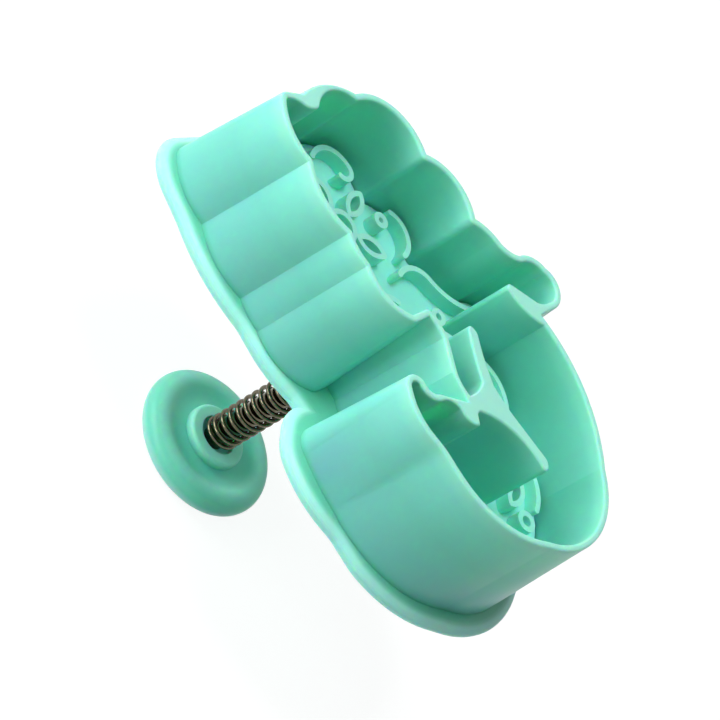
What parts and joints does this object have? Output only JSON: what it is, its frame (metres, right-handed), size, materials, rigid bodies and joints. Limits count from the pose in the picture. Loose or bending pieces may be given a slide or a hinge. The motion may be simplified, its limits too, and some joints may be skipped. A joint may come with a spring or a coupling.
{
  "type": "plunger cutter",
  "caption": "Plunger cutter with a deep scalloped two-lobed cutting wall, a sliding embossing plate, and a round push knob on a sprung stem.",
  "frame": {"origin": "on the axis of the stem, at the outer face of the push knob on which the part stands", "axes": "+Z along the stem from the knob to the cutting edge, which is the way the plate moves when the knob is pressed; +Y towards the narrow lobe of the outline; +X towards the small side lobe"},
  "size_m": [0.0541, 0.0845, 0.0538],
  "materials": {
    "mint_plastic": "satin, slightly translucent moulded plastic",
    "spring_steel": "dark bright nickel plating on the steel of the spring and of the stem"
  },
  "bodies": {
    "cutter": {"cutter_shell": "mint_plastic", "return_spring": "spring_steel"},
    "plunger": {"plunger_stem": "spring_steel", "plunger_knob": "mint_plastic", "embossing_plate": "mint_plastic"}
  },
  "joints": [
    {"name": "plunger_slide", "type": "slide", "parent": "cutter", "child": "plunger", "axis": [0, 0, 1], "range_m": [0, 0.013], "stiffness_N_per_m": 400, "springref_m": -0.01, "deforming": ["return_spring"]}
  ]
}
